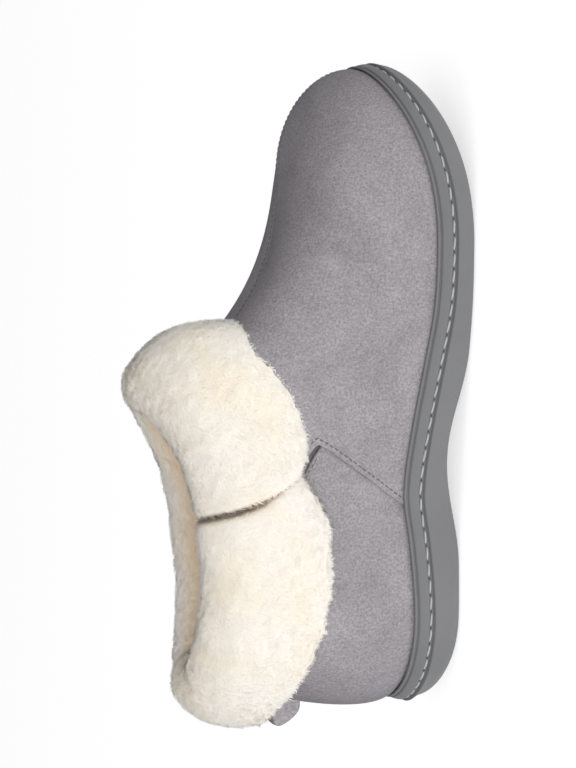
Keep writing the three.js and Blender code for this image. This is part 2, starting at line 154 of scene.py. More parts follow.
def end_round(distance, reach, power):
    near = np.clip(1 - np.asarray(distance) / reach, 0, 1)
    return (1 - near**power) ** (1 / power)


def outline(turn):
    """Plan of the sole: an array of (x, y)."""
    turn = np.asarray(turn, float)
    turn = turn - 2 * np.round(turn / 2)
    share = (1 + np.cos(np.pi * turn)) / 2
    y = SOLE_LENGTH * share
    half = np.where(turn < 0, read_rows(PLAN, share, 2), read_rows(PLAN, share, 1))
    ends = end_round(y, 0.52 * HEEL_WIDTH, 2.0)
    ends = ends * end_round(SOLE_LENGTH - y, 0.62 * BALL_WIDTH, 2.15)
    return np.stack([np.sign(turn) * half * ends, y], -1)


def plan_normal(curve, turn, step=1e-3):
    tangent = curve(turn + step) - curve(turn - step)
    tangent = tangent / np.linalg.norm(tangent, axis=-1, keepdims=True)
    return np.stack([-tangent[..., 1], tangent[..., 0]], -1)


def plan_point(turn, inset):
    inset = np.asarray(inset, float)
    return outline(turn) - plan_normal(outline, turn) * inset[..., None]


def spring(y):
    share = np.maximum(y / SOLE_LENGTH - 0.7, 0) / 0.3
    return TOE_SPRING * share**2


def bottom(y):
    share = np.clip((y / SOLE_LENGTH - 0.22) / 0.33, 0, 1)
    return ARCH_RISE * np.sin(np.pi * share) ** 2 + spring(y)


def rim(y):
    return read_rows(RIM, y / SOLE_LENGTH) + spring(y)


def cup_floor(y):
    return mix(HEEL_THICKNESS, SOLE_THICKNESS, smooth(0.25, 0.62, y / SOLE_LENGTH)) + spring(y)


def collar_plan(turn):
    middle = (THROAT_FROM_HEEL + COLLAR_REAR_FROM_HEEL) / 2
    reach = (THROAT_FROM_HEEL - COLLAR_REAR_FROM_HEEL) / 2
    s, c = np.sin(np.pi * turn), np.cos(np.pi * turn)
    return np.stack([COLLAR_WIDTH / 2 * np.sign(s) * np.abs(s) ** 0.82,
                     middle + reach * np.sign(c) * np.abs(c) ** 0.92], -1)


def collar_point(turn):
    flat = collar_plan(turn)
    turn = np.asarray(turn, float)
    turn = turn - 2 * np.round(turn / 2)
    z = mix(COLLAR_HEIGHT, THROAT_HEIGHT, read_rows(FALL, np.abs(turn)))
    return np.concatenate([flat, z[..., None]], -1)


def ridge_point(share):
    share = np.clip(share, 0, 1)
    y = mix(TOE_TOP_FROM_HEEL, THROAT_FROM_HEEL, share**1.35)
    rise = ((TOE_TOP_FROM_HEEL - y) / (TOE_TOP_FROM_HEEL - THROAT_FROM_HEEL)) ** 3.1
    return np.stack([0 * y, y, mix(TOE_HEIGHT, THROAT_HEIGHT, rise)], -1)


def top_point(turn):
    away = np.abs(turn)
    behind = np.sign(turn) * np.maximum(away - THROAT_ROUND, 0) / (1 - THROAT_ROUND)
    ridge, collar = ridge_point(away / THROAT_ROUND), collar_point(behind)
    return np.where((away <= THROAT_ROUND)[..., None], ridge, collar)


FEATHER_INSET = RIM_INSET + GAP + VAMP_LAP_AT_FOOT


def wall_point(turn, up):
    """A point of the upper: round from the toe (0) to the heel (1), up from the rim to the top."""
    turn, up = np.broadcast_arrays(np.asarray(turn, float), np.asarray(up, float))
    turn = turn - 2 * np.round(turn / 2)
    away = np.abs(turn)
    foot, top = plan_point(turn, np.full(turn.shape, FEATHER_INSET)), top_point(turn)
    low = rim(foot[..., 1])
    angle = up * np.pi / 2
    arch = 1 - smooth(THROAT_ROUND, THROAT_ROUND + 0.26, away)
    fullness = mix(1.12, 0.92, smooth(0, 0.2, away))
    cosine, sine = np.maximum(np.cos(angle), 0), np.maximum(np.sin(angle), 0)
    inward = mix(up**1.7, 1 - cosine**fullness, arch)
    upward = mix(up, sine**fullness, arch)
    lowness = mix(0.8, 0.55, smooth(0.75, 1, away))
    out = read_rows(SWELL, away) * np.sin(np.pi * up**lowness)
    plan = foot + plan_normal(outline, turn) * out[..., None]
    flat = plan + (top[..., :2] - foot) * inward[..., None]
    return np.concatenate([flat, mix(low, top[..., 2], upward)[..., None]], -1)


def seam_at(up):
    return read_rows(SEAM, up)


sole_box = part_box("outsole")
probe = plan_point(np.linspace(-1, 1, 4001), np.full(4001, 0.2))
SHIFT = np.array([
    sole_box[1].x * 1000 - probe[:, 0].max(),
    sole_box[1].y * 1000 - probe[:, 1].max(),
    0.0,
])
print("the last sits at", SHIFT.round(2), "mm in the frame")

# %% [markdown]
# ## Meshes from grids
# Every sheet is a grid of points. Helpers turn a grid into a mesh, push it in and out along its
# own normals, and close it into a shell, so that an edge has a thickness that catches light.


# %% Mesh helpers
def grid_faces(rows, cols, wrap=False):
    """Quads of a grid stored row by row; wrap joins the last column to the first."""
    i, j = np.meshgrid(np.arange(rows - 1), np.arange(cols if wrap else cols - 1), indexing="ij")
    a = i * cols + j
    b = i * cols + (j + 1) % cols
    return np.stack([a, b, b + cols, a + cols], -1).reshape(-1, 4)


def vertex_normals(points, faces):
    normals = np.zeros_like(points)
    diagonals = points[faces[:, 2]] - points[faces[:, 0]], points[faces[:, 3]] - points[faces[:, 1]]
    across = np.cross(*diagonals)
    for k in range(4):
        np.add.at(normals, faces[:, k], across)
    return normals / np.maximum(np.linalg.norm(normals, axis=1, keepdims=True), 1e-12)


def weld(points, faces, within=0.02):
    """Joins points that lie in one place; gives points, faces and where each old point went."""
    keys = np.round(points / within).astype(np.int64)
    _, first, place = np.unique(keys, axis=0, return_index=True, return_inverse=True)
    return points[first], place.ravel()[faces], first


def mesh_object(name, points, faces, material):
    """A mesh in the frame from points in millimetres."""
    mesh = bpy.data.meshes.new(name)
    mesh.from_pydata(((points + SHIFT) / 1000).tolist(), [], [tuple(f) for f in faces])
    mesh.validate()
    mesh.update()
    mesh.shade_smooth()
    mesh.materials.append(material)
    obj = bpy.data.objects.new(name, mesh)
    scene.collection.objects.link(obj)
    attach(obj, "root")
    return obj


def point_values(obj, label, values):
    """Stores a number for each point, for a material to read."""
    made = obj.data.attributes.new(label, "FLOAT", "POINT")
    made.data.foreach_set("value", values)


def triangles(obj):
    return sum(len(p.vertices) - 2 for p in obj.data.polygons)


def shell(points, faces, outside, inside):
    """A closed shell round an open sheet, with its faces turned out."""
    normals = vertex_normals(points, faces)
    count = len(points)
    outer = points + normals * np.asarray(outside)[:, None]
    inner = points - normals * np.asarray(inside)[:, None]
    edges = {}
    for k in range(4):
        for a, b in zip(faces[:, k], faces[:, (k + 1) % 4]):
            if a != b:
                edges[(a, b)] = True
    border = [(a, b) for a, b in edges if (b, a) not in edges]
    sides = np.array([(b, a, a + count, b + count) for a, b in border])
    return np.concatenate([outer, inner]), np.concatenate([faces, faces[:, ::-1] + count, sides])


def clean_faces(faces):
    """Faces without repeated corners."""
    return [tuple(dict.fromkeys(f.tolist())) for f in faces if len(set(f.tolist())) > 2]


def wobble(points, pitch, seed):
    """Smooth made-up relief, from -1 to 1, with hills about a pitch apart."""
    local = np.random.default_rng(seed)
    total = np.zeros(len(points))
    for _ in range(6):
        way = local.normal(size=3)
        way = way / np.linalg.norm(way) * 2 * np.pi / pitch * local.uniform(0.7, 1.4)
        total += np.sin(points @ way + local.uniform(0, 2 * np.pi))
    return total / 3.4


# %% [markdown]
# ## Materials
# Suede is leather with its fibres raised. From a step away it reads as a matte surface with
# soft lighter and darker patches, where the nap lies one way or the other, and as a fine grain
# close by. The sole is moulded foam rubber, smooth and matte. The fleece is sheepskin, near
# white with warm patches. All three are made from noise in the object's own space, so that
# nothing has to be unwrapped.


# %% Material helpers
def new_material(name):
    material = bpy.data.materials.new(name)
    material.use_nodes = True
    nodes, links = material.node_tree.nodes, material.node_tree.links
    return material, nodes, links, nodes["Principled BSDF"]


def noise(nodes, links, scale, detail, roughness=0.6, distortion=0.0):
    """A noise texture in object space, its scale in cycles a metre."""
    place = nodes.new("ShaderNodeTexCoord")
    texture = nodes.new("ShaderNodeTexNoise")
    texture.inputs["Scale"].default_value = scale
    texture.inputs["Detail"].default_value = detail
    texture.inputs["Roughness"].default_value = roughness
    texture.inputs["Distortion"].default_value = distortion
    links.new(place.outputs["Object"], texture.inputs["Vector"])
    return texture.outputs["Fac"]


def attribute(nodes, name, output="Fac"):
    """A value that the points carry."""
    node = nodes.new("ShaderNodeAttribute")
    node.attribute_name = name
    return node.outputs[output]


def ramp(nodes, links, source, stops):
    """Colours along a value; stops are (place, (r, g, b)) in linear light."""
    node = nodes.new("ShaderNodeValToRGB")
    elements = node.color_ramp.elements
    while len(elements) < len(stops):
        elements.new(0.5)
    for element, (place, colour) in zip(elements, stops):
        element.position = place
        element.color = (*colour, 1)
    links.new(source, node.inputs["Fac"])
    return node.outputs["Color"]


def blend_colours(nodes, links, kind, factor, first, second):
    node = nodes.new("ShaderNodeMix")
    node.data_type = "RGBA"
    node.blend_type = kind
    node.inputs[0].default_value = factor
    links.new(first, node.inputs[6])
    links.new(second, node.inputs[7])
    return node.outputs[2]


def bump(nodes, links, shader, layers):
    """Bump from several heights; layers are (value, depth in metres)."""
    below = None
    for value, depth in layers:
        node = nodes.new("ShaderNodeBump")
        node.inputs["Strength"].default_value = 1.0
        node.inputs["Distance"].default_value = depth
        links.new(value, node.inputs["Height"])
        if below is not None:
            links.new(below, node.inputs["Normal"])
        below = node.outputs["Normal"]
    links.new(below, shader.inputs["Normal"])


def suede_material(name, tone):
    material, nodes, links, shader = new_material(name)
    grey = np.array([0.294, 0.275, 0.29]) * tone
    patches = ramp(nodes, links, noise(nodes, links, 30, 6, 0.62, 0.8), [
        (0.3, tuple(grey * 0.84)), (0.5, tuple(grey)),
        (0.7, tuple(grey * (1.11, 1.14, 1.14))),
    ])
    nap = ramp(nodes, links, noise(nodes, links, 1050, 4, 0.68), [
        (0.32, (0.7, 0.7, 0.7)), (0.68, (1.32, 1.32, 1.32)),
    ])
    colour = blend_colours(nodes, links, "MULTIPLY", 1.0, patches, nap)
    # Painted light and shade: the colour is lifted a little where the suede faces the camera and
    # darkened more and more as it turns away, standing in for the fall of the light.
    slant = nodes.new("ShaderNodeLayerWeight")
    slant.inputs["Blend"].default_value = 0.5
    edge = ramp(nodes, links, slant.outputs["Facing"], [
        (0.05, (1.09, 1.09, 1.09)), (0.28, (0.94, 0.94, 0.94)), (0.55, (0.8, 0.8, 0.81)),
        (0.85, (0.58, 0.58, 0.59)),
    ])
    colour = blend_colours(nodes, links, "MULTIPLY", 1.0, colour, edge)
    links.new(colour, shader.inputs["Base Color"])
    shader.inputs["Roughness"].default_value = 0.95
    shader.inputs["Specular IOR Level"].default_value = 0.15
    shader.inputs["Sheen Weight"].default_value = 0.12
    shader.inputs["Sheen Roughness"].default_value = 0.5
    shader.inputs["Sheen Tint"].default_value = (0.93, 0.92, 0.95, 1)
    bump(nodes, links, shader, [
        (noise(nodes, links, 520, 4, 0.7), 0.0004),
        (noise(nodes, links, 2200, 2, 0.6), 0.00018),
    ])
    return material


def rubber_material():
    material, nodes, links, shader = new_material("moulded rubber")
    colour = ramp(nodes, links, noise(nodes, links, 30, 4, 0.6), [
        (0.3, (0.17, 0.171, 0.176)), (0.7, (0.188, 0.189, 0.195)),
    ])
    links.new(colour, shader.inputs["Base Color"])
    shader.inputs["Roughness"].default_value = 0.62
    shader.inputs["Specular IOR Level"].default_value = 0.3
    bump(nodes, links, shader, [
        (noise(nodes, links, 260, 3, 0.6), 0.00006),
        (noise(nodes, links, 2200, 2, 0.6), 0.00003),
    ])
    return material


def fleece_material(name, light, warm, depth, strands=False):
    material, nodes, links, shader = new_material(name)
    colour = ramp(nodes, links, noise(nodes, links, 26, 4, 0.55, 0.4), [
        (0.38, light), (0.56, tuple(mix(np.array(light), np.array(warm), 0.45))), (0.75, warm),
    ])
    if strands:
        shade = ramp(nodes, links, attribute(nodes, "from_root"), [
            (0.0, (0.975, 0.96, 0.94)), (0.6, (1, 1, 1)),
        ])
        colour = blend_colours(nodes, links, "MULTIPLY", 1.0, colour, shade)
        links.new(attribute(nodes, "skin_normal", "Vector"), shader.inputs["Normal"])
    # Painted shade: the fleece turns a darker warm tan the deeper it lies inside the opening.
    inside_shade = ramp(nodes, links, attribute(nodes, "inside"), [
        (0.0, (1, 1, 1)), (0.4, (0.96, 0.87, 0.76)), (1.0, (0.87, 0.69, 0.51)),
    ])
    colour = blend_colours(nodes, links, "MULTIPLY", 1.0, colour, inside_shade)
    # Painted shade: the fleece darkens to a deep warm brown in the slit between the lips.
    shaded = ramp(nodes, links, attribute(nodes, "slit_shade"), [
        (0.0, (1, 1, 1)), (0.5, (0.72, 0.66, 0.6)), (1.0, (0.3, 0.24, 0.2)),
    ])
    colour = blend_colours(nodes, links, "MULTIPLY", 1.0, colour, shaded)
    links.new(colour, shader.inputs["Base Color"])
    shader.inputs["Roughness"].default_value = 1.0
    shader.inputs["Specular IOR Level"].default_value = 0.1
    shader.inputs["Sheen Weight"].default_value = 0.3
    shader.inputs["Sheen Roughness"].default_value = 0.6
    if not strands:
        bump(nodes, links, shader, [
            (noise(nodes, links, 320, 5, 0.65, 0.8), depth),
            (noise(nodes, links, 1300, 3, 0.7), depth * 0.35),
        ])
    return material


def plain_material(name, colour, roughness):
    material, nodes, links, shader = new_material(name)
    tint = ramp(nodes, links, noise(nodes, links, 500, 3, 0.6), [
        (0.3, tuple(np.array(colour) * 0.92)), (0.7, tuple(np.array(colour) * 1.06)),
    ])
    links.new(tint, shader.inputs["Base Color"])
    shader.inputs["Roughness"].default_value = roughness
    shader.inputs["Specular IOR Level"].default_value = 0.25
    bump(nodes, links, shader, [(noise(nodes, links, 1500, 3, 0.6), 0.00008)])
    return material


suede = suede_material("suede", 1.0)
# A darker copy of the suede: painted shade, for the strip deep behind the slit.
suede_painted_shade = suede_material("suede in shade", 0.62)
rubber = rubber_material()
fleece = fleece_material("shearling", (0.96, 0.9, 0.82), (0.95, 0.84, 0.66), 0.0009)
fleece_tips = fleece_material("shearling strands", (0.99, 0.96, 0.9), (0.98, 0.905, 0.775), 0, True)
lining_fleece = fleece_material("lining fleece", (0.86, 0.72, 0.55), (0.78, 0.6, 0.42), 0.0009)
footbed_cloth = plain_material("footbed cloth", (0.83, 0.61, 0.43), 0.9)
thread_light = plain_material("light thread", (0.46, 0.47, 0.48), 0.75)
thread_grey = plain_material("grey thread", (0.15, 0.145, 0.155), 0.8)
# A near-black for the painted shade in stitch holes.
hole_shade = plain_material("stitch hole shade", (0.08, 0.08, 0.083), 0.9)

# %% [markdown]
# ## Outsole
# The sole is one moulding: a smooth side wall, a channel near its top with a decorative stitch,
# a band above the channel, and a thin bead against the suede. It is a stack of loops, each the
# same plan curve pulled in by its own amount at its own height.

# %% Outsole
LOOP = 720
turns = np.linspace(-1, 1, LOOP, endpoint=False)
SHOULDER = np.array([  # inset, below the rim: side wall, channel, band, gap line, bead
    (0.15, 8.9), (0.25, 8.6), (0.7, 8.35), (1.3, 8.2), (1.75, 7.9), (1.95, 7.4), (1.9, 6.9),
    (1.5, 6.5), (0.95, 6.25), (0.75, 5.95), (0.8, 5.5), (1.2, 3.9), (1.6, 2.6), (1.75, 2.2),
    (2.3, 1.95), (2.75, 1.75), (2.6, 1.5), (2.15, 1.3), (1.95, 1.0), (1.9, 0.7), (2.05, 0.3),
    (2.4, 0.08), (2.8, 0.0),
])


def sole_loop(inset, height):
    flat = plan_point(turns, np.broadcast_to(inset, turns.shape))
    return np.concatenate([flat, height(flat[:, 1])[:, None]], -1)


def outsole_loops():
    loops = []
    out, lift, slant = (read_rows(EDGE, np.abs(turns), k) for k in (1, 2, 3))
    for share in np.linspace(0, 1, 11):
        angle = share * np.pi / 2
        inset = out * (1 - np.sin(angle)) + slant * (1 - share / 2)
        loops.append(sole_loop(inset, lambda y: bottom(y) + lift * (1 - np.cos(angle))))
    edge_top = loops[-1]
    first = sole_loop(SHOULDER[0, 0], lambda y: rim(y) - SHOULDER[0, 1])
    for share in (0.2, 0.4, 0.6, 0.8, 0.94):
        loops.append(mix(edge_top, first, share))
    for inset, below in SHOULDER:
        loops.append(sole_loop(inset, lambda y: rim(y) - below))
    loops.append(sole_loop(RIM_INSET - 0.1, lambda y: rim(y) - 0.1))
    loops.append(sole_loop(RIM_INSET, lambda y: rim(y) - 0.5))
    loops.append(sole_loop(RIM_INSET, cup_floor))
    return loops


def across_faces(start, count, flip):
    """Closes a loop with strips from the outer side to the inner side."""
    faces = []
    for i in range(count // 2):
        a, b = start + (count // 2 + i) % count, start + (count // 2 + i + 1) % count
        c, d = start + (count // 2 - i - 1) % count, start + (count // 2 - i) % count
        faces.append((a, b, c, d) if flip else (d, c, b, a))
    return np.array(faces)


def stack(name, loops, material):
    """A closed solid from a stack of loops."""
    faces = np.concatenate([
        grid_faces(len(loops), LOOP, wrap=True)[:, ::-1],
        across_faces(0, LOOP, False),
        across_faces((len(loops) - 1) * LOOP, LOOP, True),
    ])
    return mesh_object(name, np.concatenate(loops), clean_faces(faces), material)


outsole = stack("sole_moulding", outsole_loops(), rubber)
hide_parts("outsole")
print("outsole", triangles(outsole), "triangles")

# %% [markdown]
# ## Stitches of the sole
# A machine sews a thick light thread round the channel, about seven millimetres a stitch, and
# each stitch dives into a hole at both ends. One short bent tube is placed again and again
# along the channel and joined into one mesh.


# %% Stitch helpers
def along_line(line, places):
    """Points of a polyline at given lengths along it, and its direction there."""
    steps = np.linalg.norm(np.diff(line, axis=0), axis=1)
    length = np.concatenate([[0], np.cumsum(steps)])
    at = np.stack([np.interp(places, length, line[:, k]) for k in range(3)], -1)
    ahead = np.stack([np.interp(places + 0.3, length, line[:, k]) for k in range(3)], -1)
    behind = np.stack([np.interp(places - 0.3, length, line[:, k]) for k in range(3)], -1)
    way = ahead - behind
    return at, way / np.maximum(np.linalg.norm(way, axis=1, keepdims=True), 1e-9)


def line_length(line):
    return np.linalg.norm(np.diff(line, axis=0), axis=1).sum()


def stitch_row(name, line, normals, pitch, length, radius, dive, material, sides=7, turned=0.0):
    """Stitches along a line that lies on a surface; normals has one row a point of the line."""
    total = line_length(line)
    count = max(int(total / pitch), 1)
    middles = (np.arange(count) + 0.5) * total / count
    shares = np.array([-0.5, -0.46, -0.36, -0.18, 0.0, 0.18, 0.36, 0.46, 0.5])
    thick = np.array([0.3, 0.7, 0.95, 1.0, 1.0, 1.0, 0.95, 0.7, 0.3]) * radius
    depth = dive * (np.abs(shares) * 2) ** 4
    places = middles[:, None] + shares[None, :] * length
    at, way = along_line(line, places.ravel())
    steps = np.concatenate([[0], np.cumsum(np.linalg.norm(np.diff(line, axis=0), axis=1))])
    out = np.stack([np.interp(places.ravel(), steps, normals[:, k]) for k in range(3)], -1)
    out /= np.linalg.norm(out, axis=1, keepdims=True)
    side = np.cross(way, out)
    side /= np.linalg.norm(side, axis=1, keepdims=True)
    lean = np.tile(shares * turned, count)[:, None]
    middle = at - out * np.tile(depth, count)[:, None] + side * lean
    angle = np.linspace(0, 2 * np.pi, sides, endpoint=False)
    cosine, sine = np.cos(angle)[None, :, None], np.sin(angle)[None, :, None]
    ring = cosine * side[:, None] + sine * out[:, None]
    points = middle[:, None] + ring * np.tile(thick, count)[:, None, None]
    points = points.reshape(count, len(shares) * sides, 3)
    one = grid_faces(len(shares), sides, wrap=True)
    ends = [tuple(range(sides))[::-1],
            tuple(range((len(shares) - 1) * sides, len(shares) * sides))]
    faces = []
    for k in range(count):
        start = k * len(shares) * sides
        faces += [tuple(v + start for v in f) for f in one.tolist()]
        faces += [tuple(v + start for v in f) for f in ends]
    return mesh_object(name, points.reshape(-1, 3), faces, material)


def beads(name, places, normals, radius, flat, material):
    """Small flattened beads on a surface, used as painted shade in the holes that thread dives
    into.
    """
    rings, sides = 5, 8
    theta = np.linspace(0, np.pi, rings)
    phi = np.linspace(0, 2 * np.pi, sides, endpoint=False)
    ball = np.stack([np.sin(theta)[:, None] * np.cos(phi), np.sin(theta)[:, None] * np.sin(phi),
                     np.cos(theta)[:, None] * flat + 0 * phi], -1).reshape(-1, 3) * radius
    upright = np.abs(normals[:, 2:]) < 0.9
    helper = np.where(upright, np.array([[0, 0, 1.0]]), np.array([[1.0, 0, 0]]))
    u = np.cross(helper, normals)
    u /= np.linalg.norm(u, axis=1, keepdims=True)
    v = np.cross(normals, u)
    points = (places[:, None] + ball[None, :, 0:1] * u[:, None] + ball[None, :, 1:2] * v[:, None]
              + ball[None, :, 2:3] * normals[:, None])
    one = grid_faces(rings, sides, wrap=True)
    faces = np.concatenate([one + k * rings * sides for k in range(len(places))])
    return mesh_object(name, points.reshape(-1, 3), clean_faces(faces), material)


# %% Sole stitches
SOLE_PITCH, SOLE_STITCH, SOLE_THREAD = 6.9, 5.5, 0.5
dense = np.linspace(-1, 1, 4001)
flat = plan_point(dense, np.full(dense.shape, 1.55))
outward = plan_normal(outline, dense)
channel = np.concatenate([flat, (rim(flat[:, 1]) - 7.05)[:, None]], -1)
facing = np.concatenate([outward, np.zeros((len(dense), 1))], -1)
sole_stitches = stitch_row("sole_stitches", channel, facing, SOLE_PITCH, SOLE_STITCH,
                           SOLE_THREAD, 0.75, thread_light, turned=0.5)
count = int(line_length(channel) / SOLE_PITCH)
at, way = along_line(channel, np.arange(count) * line_length(channel) / count)
around_hole = np.stack([way[:, 1], -way[:, 0], 0 * way[:, 0]], -1)
around_hole /= np.linalg.norm(around_hole, axis=1, keepdims=True)
flip = np.sign((around_hole[:, :2] * plan_normal(
    outline, np.interp(np.arange(count) / count, [0, 1], [-1, 1]))).sum(-1))
# Painted shade: a dark bead sits in each hole of the sole stitch, where the thread dives in.
sole_hole_shade = beads("sole_stitch_hole_shade", at - around_hole * flip[:, None] * 0.35,
                   around_hole * flip[:, None], 0.45, 0.5, hole_shade)
print("sole stitches", count)

# %% [markdown]
# ## Footbed
# A smooth soft board in the cup, dished a little under the heel, with a raised soft edge.

# %% Footbed
insole_edge = FEATHER_INSET + WALL + GAP
levels = [(0.0, 0.0), (0.0, 3.5), (0.15, 4.9), (0.7, 5.8), (1.6, 6.2), (3.2, 6.15), (6, 5.7),
          (10, 5.2), (16, 4.9), (24, 4.8)]
loops = [sole_loop(insole_edge + inset, lambda y: cup_floor(y) + GAP + above)
         for inset, above in levels]
footbed = stack("footbed", loops, footbed_cloth)
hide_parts("insole")
print("footbed", triangles(footbed), "triangles")

# %% [markdown]
# ## Upper: vamp and quarter
# The vamp is two halves sewn down the middle, and it laps over the quarter at a slanting seam
# on each side with its edge folded under. Above the notch the two panels part, and the slit
# between them runs up through the cuff. Each panel is a fine sheet of the last, swelled out
# where it laps, rolled at its edges and sunk along its stitch rows. Worn suede bends at the
# instep, over the ball and beside the heel, so a table places a few soft troughs and ridges
# there, each along a line on the wall, under a millimetre deep and faded out at both ends.

# %% Upper panels
SLIT_AT_NOTCH, SLIT_WIDTH = 1, 6
UP = np.concatenate([np.linspace(0, 0.1, 12)[:-1], np.linspace(0.1, 0.88, 70)[:-1],
                     0.88 + 0.12 * np.linspace(0, 1, 40) ** 0.75])


def slit_half(up):
    """Half of the slit's width, in millimetres."""
    share = np.clip((up - NOTCH_UP) / (1 - NOTCH_UP), 0, 1)
    return np.where(up > NOTCH_UP, mix(SLIT_AT_NOTCH, SLIT_WIDTH, share**0.35) / 2, 0)


def turn_per_mm(up):
    """How much round a millimetre along the wall is, beside the seam."""
    turn = seam_at(up)
    step = np.linalg.norm(wall_point(turn + 5e-3, up) - wall_point(turn - 5e-3, up), axis=-1)
    return 1e-2 / step


def bump_at(at, centre, width):
    return np.exp(-((at - centre) / width) ** 2)


CREASES = np.array([  # side, from round, up, to round, up, width, height
    (1, 0.34, 0.99, 0.54, 0.4, 10, -0.9), (1, 0.27, 0.97, 0.45, 0.38, 11, 0.6),
    (1, 0.38, 0.72, 0.4, 0.2, 7, -0.45), (1, 0.24, 0.8, 0.33, 0.3, 9, -0.35),
    (1, 0.06, 0.35, 0.27, 0.16, 6, -0.4), (1, 0.62, 0.2, 0.74, 0.5, 8, -0.6),
    (1, 0.78, 0.42, 0.9, 0.3, 8, -0.5), (1, 0.7, 0.18, 0.86, 0.14, 7, 0.4),
    (-1, 0.35, 0.98, 0.53, 0.42, 10, -0.9), (-1, 0.28, 0.96, 0.44, 0.36, 11, 0.55),
    (-1, 0.4, 0.65, 0.43, 0.22, 7, -0.5), (-1, 0.08, 0.33, 0.25, 0.18, 6, -0.35),
    (-1, 0.66, 0.22, 0.78, 0.46, 9, -0.6), (-1, 0.8, 0.38, 0.92, 0.27, 8, -0.4),
])


def creases(points):
    """Troughs and ridges as listed: a height for each point, soft at both ends."""
    height = np.zeros(len(points))
    share = np.linspace(0, 1, 30)
    for side, turn_a, up_a, turn_b, up_b, width, rise in CREASES:
        sag = 0.03 * np.sin(np.pi * share)
        line = wall_point(side * (mix(turn_a, turn_b, share) + sag), mix(up_a, up_b, share))
        away = np.linalg.norm(points[:, None, :] - line[None], axis=-1)
        ends = np.sin(np.pi * np.clip(share, 0.04, 0.96)) ** 0.6
        height += rise * (np.exp(-((away / width) ** 2)) * ends).max(1)
    return height


def into_cup(points, *others):
    """Carries the lowest row of a sheet down into the cup; the others get one more row too."""
    down = points[:1].copy()
    down[..., 2] = cup_floor(down[..., 1]) + 1
    return np.concatenate([down, points]), *(np.concatenate([o[:1], o]) for o in others)


def vamp_sheet():
    share = np.linspace(0, 1, 150)
    share = np.concatenate([[0, 0.0015, 0.003, 0.0045, 0.006, 0.008, 0.011], share[2:-8],
                            1 - np.array([0.052, 0.044, 0.037, 0.03, 0.024, 0.0185, 0.014,
                                          0.0105, 0.0075, 0.005, 0.003, 0.0015, 0.0])])
    share = np.concatenate([-share[:0:-1], share])
    edge = seam_at(UP) - slit_half(UP) * turn_per_mm(UP)
    turn = share[None, :] * edge[:, None]
    up = np.repeat(UP[:, None], len(share), 1)
    points, up, turn, edge = into_cup(wall_point(turn, up), up, turn, edge)
    rows, cols = up.shape
    flat, faces, first = weld(points.reshape(-1, 3), grid_faces(rows, cols))
    return flat, faces, turn.ravel()[first], up.ravel()[first], np.repeat(edge, cols)[first]


points, faces, turn, up, edge = vamp_sheet()
to_edge = (edge - np.abs(turn)) / turn_per_mm(up)
lift = mix(VAMP_LAP_AT_FOOT, VAMP_LAP, smooth(0, 5, points[:, 2] - rim(points[:, 1])))
roll = np.sqrt(np.clip(1 - np.clip(1 - to_edge / 1.3, 0, 1) ** 2, 0, 1))
across = np.abs(points[:, 0])
ahead = (np.abs(turn) < THROAT_ROUND) | (up > 0.999)
seam_relief = -0.55 * bump_at(across, 0, 0.55) + 0.28 * bump_at(across, 1.45, 0.8)
seam_relief = seam_relief - 0.22 * bump_at(across, 2.55, 0.45)
outside = lift * roll + 0.65 * bump_at(to_edge, 1.4, 0.9) * roll
outside = outside - 0.35 * bump_at(to_edge, 2.8, 0.5)
outside = outside + np.where(ahead, seam_relief, 0) * smooth(0.0, 0.06, up)
outside = outside + (creases(points) + 0.15 * wobble(points, 26, 3)) * smooth(0.03, 0.2, up)
shell_points, shell_faces = shell(points, faces, outside, np.full(len(points), 0.4))
vamp = mesh_object("vamp_panel", shell_points, clean_faces(shell_faces), suede)
vamp_skin = BVHTree.FromPolygons(shell_points.tolist(), clean_faces(shell_faces))
print("vamp", triangles(vamp), "triangles")


def quarter_sheet():
    share = np.concatenate([[0, 0.004, 0.008, 0.012, 0.017, 0.023, 0.03, 0.04],
                            np.linspace(0.05, 1, 110)])
    share = np.concatenate([share, 2 - share[-2::-1]])
    hidden = -9 * (1 - smooth(NOTCH_UP - 0.05, NOTCH_UP, UP))
    edge = seam_at(UP) + (slit_half(UP) + hidden) * turn_per_mm(UP)
    turn = edge[:, None] + share[None, :] * (1 - edge[:, None])
    up = np.repeat(UP[:, None], len(share), 1)
    points, up, turn, edge = into_cup(wall_point(turn, up), up, turn, edge)
    rows, cols = up.shape
    return (points.reshape(-1, 3), grid_faces(rows, cols)[:, ::-1],
            np.abs(1 - np.abs(turn - 1)).ravel(), up.ravel(), np.repeat(edge, cols))


points, faces, turn, up, edge = quarter_sheet()
to_edge = (turn - edge) / turn_per_mm(up)
roll = np.sqrt(np.clip(1 - np.clip(1 - to_edge / 1.2, 0, 1) ** 2, 0, 1))
above = smooth(NOTCH_UP - 0.03, NOTCH_UP + 0.02, up)
from_seam = (turn - seam_at(up)) / turn_per_mm(up)
outside = -1.0 * (1 - roll) + (0.3 * bump_at(to_edge, 1.4, 0.9) * roll
                               - 0.3 * bump_at(to_edge, 2.7, 0.45)) * above
outside = outside - 0.95 * bump_at(from_seam, 0.3, 0.9) * (1 - above)
outside = outside + (creases(points) + 0.12 * wobble(points, 24, 5)) * smooth(0.03, 0.2, up)
shell_points, shell_faces = shell(points, faces, outside, np.full(len(points), WALL))
quarter = mesh_object("quarter_panel", shell_points, clean_faces(shell_faces), suede)
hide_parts("upper")
quarter_skin = BVHTree.FromPolygons(shell_points.tolist(), clean_faces(shell_faces))
print("quarter", triangles(quarter), "triangles")

# %% [markdown]
# ## Stitches of the upper
# A fine dark grey thread, a little over two millimetres a stitch: one row beside the folded edge
# of the vamp, up round the notch, one beside the quarter's edge at the slit, and one on each
# side of the seam down the middle of the vamp.


